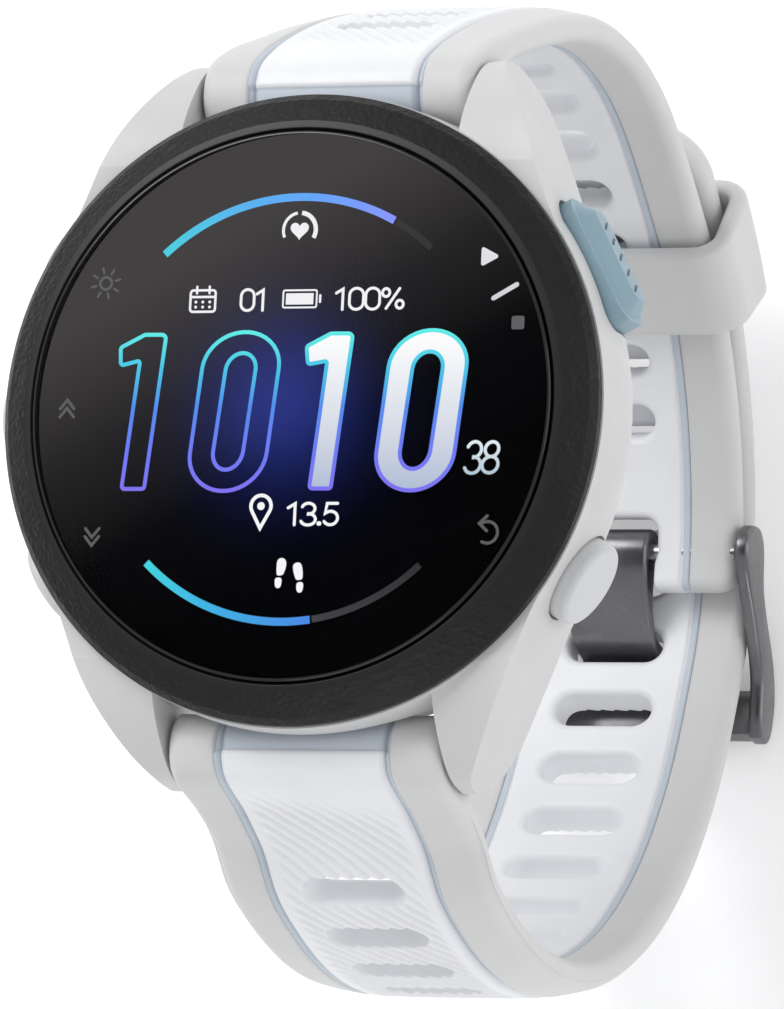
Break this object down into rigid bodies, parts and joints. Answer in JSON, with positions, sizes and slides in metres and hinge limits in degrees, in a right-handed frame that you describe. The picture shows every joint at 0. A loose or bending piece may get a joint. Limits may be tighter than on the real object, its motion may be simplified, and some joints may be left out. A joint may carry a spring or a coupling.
{
  "type": "gps running watch",
  "caption": "Round GPS running watch with side buttons, a touch display and a closed two-tone silicone strap with buckle and keeper loop.",
  "frame": {"origin": "centre of the sensor window's wrist-side face, on the axis of the round case", "axes": "+Z out of the display, +Y towards 12 o'clock, +X towards 3 o'clock"},
  "size_m": [0.0443, 0.069, 0.0697],
  "materials": {
    "case_grey": "fine matte moulded polymer",
    "bezel_black": "leather-grain textured moulded polymer",
    "lens_glass": "polished chemically strengthened glass",
    "display_black": "emissive display behind glass",
    "inner_black": "plain moulded",
    "flex_amber": "polyimide film",
    "antenna_metal": "plated",
    "board_green": "solder mask",
    "battery_foil": "foil pouch",
    "seal_rubber": "plain",
    "cover_black": "fine matte",
    "sensor_black": "polished window",
    "led_clear": "encapsulated emitters",
    "contact_gold": "gold plated",
    "screw_steel": "turned",
    "button_grey": "fine matte moulded polymer",
    "button_blue": "satin anodised look",
    "strap_white": "silicone with fine ridges",
    "strap_grey": "smooth satin silicone",
    "buckle_steel": "dark coated satin steel"
  },
  "bodies": {
    "watch": {"back_cover": "cover_black", "back_screws": "screw_steel", "battery": "battery_foil", "beeper": "battery_foil", "bezel": "bezel_black", "buckle_pin": "screw_steel", "button_switches": "inner_black", "case_housing": "case_grey", "charge_contacts": "contact_gold", "charge_socket": "inner_black", "cover_seal": "seal_rubber", "display_flex": "flex_amber", "display_frame": "inner_black", "display_panel": "display_black", "gps_antenna": "antenna_metal", "lens": "lens_glass", "lens_gasket": "seal_rubber", "lower_spring_bar": "screw_steel", "lower_strap_core": "strap_white", "lower_strap_edges": "strap_grey", "main_board": "board_green", "sensor_board": "board_green", "sensor_leds": "led_clear", "sensor_window": "sensor_black", "upper_spring_bar": "screw_steel", "upper_strap_core": "strap_white", "upper_strap_edges": "strap_grey", "vibration_motor": "inner_black"},
    "light_button_body": {"light_button": "button_grey", "light_clip": "screw_steel", "light_seal": "seal_rubber"},
    "up_button_body": {"up_button": "button_grey", "up_clip": "screw_steel", "up_seal": "seal_rubber"},
    "down_button_body": {"down_button": "button_grey", "down_clip": "screw_steel", "down_seal": "seal_rubber"},
    "back_button_body": {"back_button": "button_grey", "back_clip": "screw_steel", "back_seal": "seal_rubber"},
    "start_button_body": {"start_button": "button_blue", "start_clip": "screw_steel", "start_seal": "seal_rubber"},
    "keeper": {"keeper_loop": "strap_grey"},
    "buckle_frame_body": {"buckle_frame": "buckle_steel"},
    "tongue": {"buckle_tongue": "buckle_steel"},
    "upper_release": {"upper_release_pin": "screw_steel"},
    "lower_release": {"lower_release_pin": "screw_steel"}
  },
  "joints": [
    {"name": "light_button_press", "type": "slide", "parent": "watch", "child": "light_button_body", "axis": [0.866, -0.5, 0], "range_m": [0, 0.0005], "stiffness_N_per_m": 400, "springref_m": -0.001},
    {"name": "up_button_press", "type": "slide", "parent": "watch", "child": "up_button_body", "axis": [1, 0, 0], "range_m": [0, 0.0005], "stiffness_N_per_m": 400, "springref_m": -0.001},
    {"name": "down_button_press", "type": "slide", "parent": "watch", "child": "down_button_body", "axis": [0.866, 0.5, 0], "range_m": [0, 0.0005], "stiffness_N_per_m": 400, "springref_m": -0.001},
    {"name": "back_button_press", "type": "slide", "parent": "watch", "child": "back_button_body", "axis": [-0.866, 0.5, 0], "range_m": [0, 0.0005], "stiffness_N_per_m": 400, "springref_m": -0.001},
    {"name": "start_button_press", "type": "slide", "parent": "watch", "child": "start_button_body", "axis": [-0.8788, -0.4772, 0], "range_m": [0, 0.0005], "stiffness_N_per_m": 400, "springref_m": -0.001},
    {"name": "keeper_slide", "type": "hinge", "parent": "watch", "child": "keeper", "pos_m": [0, -0.00175, -0.0229], "axis": [1, 0, 0], "range_deg": [-20, 5]},
    {"name": "buckle_frame_hinge", "type": "hinge", "parent": "watch", "child": "buckle_frame_body", "pos_m": [0, -0.0012, -0.0525], "axis": [1, 0, 0], "range_deg": [0, 100]},
    {"name": "tongue_hinge", "type": "hinge", "parent": "watch", "child": "tongue", "pos_m": [0, -0.0012, -0.0525], "axis": [1, 0, 0], "range_deg": [-2, 1]},
    {"name": "upper_release_slide", "type": "slide", "parent": "watch", "child": "upper_release", "axis": [-1, 0, 0], "range_m": [0, 0.0013], "stiffness_N_per_m": 400, "springref_m": -0.001},
    {"name": "lower_release_slide", "type": "slide", "parent": "watch", "child": "lower_release", "axis": [-1, 0, 0], "range_m": [0, 0.0013], "stiffness_N_per_m": 400, "springref_m": -0.001}
  ]
}
